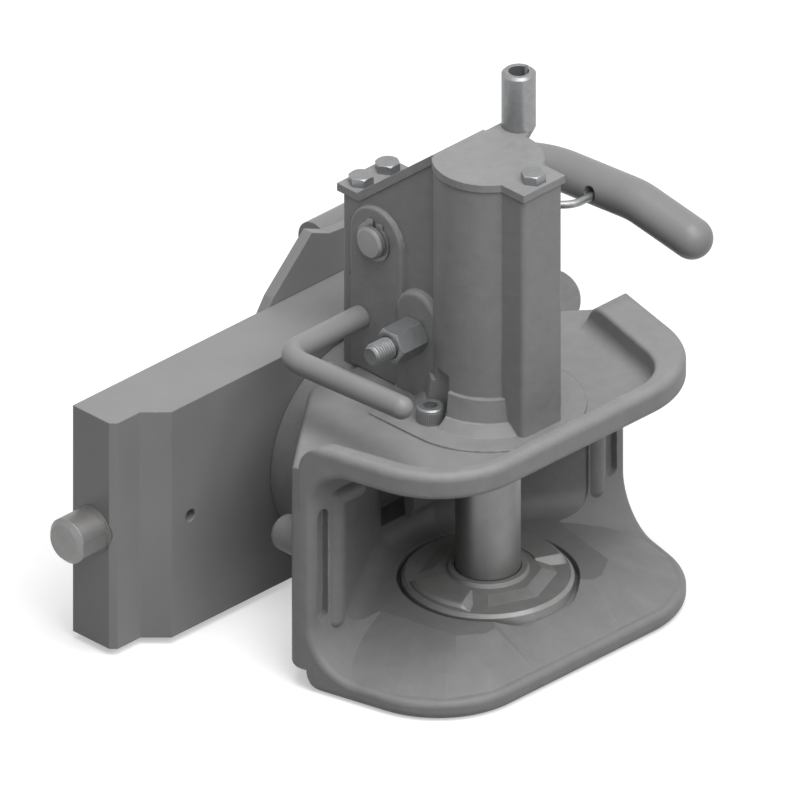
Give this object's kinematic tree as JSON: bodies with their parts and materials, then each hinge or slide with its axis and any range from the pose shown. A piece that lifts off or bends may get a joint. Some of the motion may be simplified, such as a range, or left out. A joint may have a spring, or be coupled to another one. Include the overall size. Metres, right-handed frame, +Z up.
{
  "type": "tractor clevis coupling",
  "caption": "Slide-in tractor trailer coupling with a turning funnel jaw, a lifting coupling pin in an upright housing, hand and locking levers.",
  "frame": {"origin": "where the coupling pin's axis crosses the jaw's turning axis", "axes": "+Z up along the coupling pin, -Y out of the mouth, +Y towards the tractor, +X along the slider to the handle's side"},
  "size_m": [0.41, 0.2665, 0.345],
  "materials": {
    "casting_paint": "grey paint on a sand casting",
    "slider_paint": "grey paint on machined steel",
    "handle_paint": "grey paint on round bar",
    "hard_steel": "hardened, ground",
    "bright_steel": "turned",
    "spring_steel": "oiled spring steel",
    "zinc": "zinc plated",
    "bronze": "bearing bronze"
  },
  "bodies": {
    "slider": {"slider_plate": "slider_paint", "journal_bush": "bronze", "rear_cap": "slider_paint", "cap_screws": "zinc", "lock_spring_left": "spring_steel", "lock_spring_right": "spring_steel"},
    "lock_pin_left": {"locking_pin_left": "bright_steel", "pull_pin_left": "bright_steel"},
    "lock_pin_right": {"locking_pin_right": "bright_steel", "pull_pin_right": "bright_steel"},
    "lock_handle": {"lock_plate": "slider_paint", "handle_bar": "handle_paint", "handle_wire": "zinc"},
    "jaw": {"jaw_body": "casting_paint", "retaining_plate": "bright_steel", "retaining_screws": "zinc", "upper_bush": "bronze", "lower_bush": "bronze", "wear_disc": "hard_steel", "pivot_shaft": "bright_steel", "circlips": "spring_steel", "closing_spring": "spring_steel", "trigger_pin": "bright_steel", "cover_plate": "casting_paint", "cover_bolts": "zinc", "cable_sleeve": "zinc", "stop_stud": "zinc", "stud_nut": "zinc", "foot_screws": "zinc", "grease_nipple": "zinc"},
    "pin": {"coupling_pin": "hard_steel", "cross_pin": "bright_steel"},
    "lift_lever": {"lift_lever": "casting_paint"},
    "hand_lever": {"hand_lever": "handle_paint", "lift_finger": "casting_paint"},
    "trigger": {"trigger": "casting_paint"}
  },
  "joints": [
    {"name": "jaw_turn", "type": "hinge", "parent": "slider", "child": "jaw", "pos_m": [0, 0, 0], "axis": [0, 1, 0], "range_deg": [-20, 20]},
    {"name": "handle_turn", "type": "hinge", "parent": "slider", "child": "lock_handle", "pos_m": [0, 0.161, 0], "axis": [0, -1, 0], "range_deg": [0, 26]},
    {"name": "left_pin_slide", "type": "slide", "parent": "slider", "child": "lock_pin_left", "axis": [1, 0, 0], "range_m": [0, 0.0245], "deforming": ["lock_spring_left"]},
    {"name": "right_pin_slide", "type": "slide", "parent": "slider", "child": "lock_pin_right", "axis": [-1, 0, 0], "range_m": [0, 0.0245], "deforming": ["lock_spring_right"]},
    {"name": "pin_lift", "type": "slide", "parent": "jaw", "child": "pin", "axis": [0, 0, 1], "range_m": [0, 0.116]},
    {"name": "lift_lever_turn", "type": "hinge", "parent": "jaw", "child": "lift_lever", "pos_m": [0, 0.069, 0.156], "axis": [-1, 0, 0], "range_deg": [0, 78.79]},
    {"name": "hand_lever_turn", "type": "hinge", "parent": "jaw", "child": "hand_lever", "pos_m": [0, 0.0806, 0.101], "axis": [-1, 0, 0], "range_deg": [0, 71.1]},
    {"name": "trigger_swing", "type": "hinge", "parent": "jaw", "child": "trigger", "pos_m": [0, 0.058, 0.061], "axis": [1, 0, 0], "range_deg": [0, 12]}
  ],
  "couplings": [
    {"joint": "left_pin_slide", "follows": "handle_turn", "m_per_rad": 0.052888},
    {"joint": "right_pin_slide", "follows": "handle_turn", "m_per_rad": 0.052888},
    {"joint": "lift_lever_turn", "follows": "pin_lift", "rad_per_m": 11.848},
    {"joint": "hand_lever_turn", "follows": "pin_lift", "rad_per_m": 10.683}
  ]
}
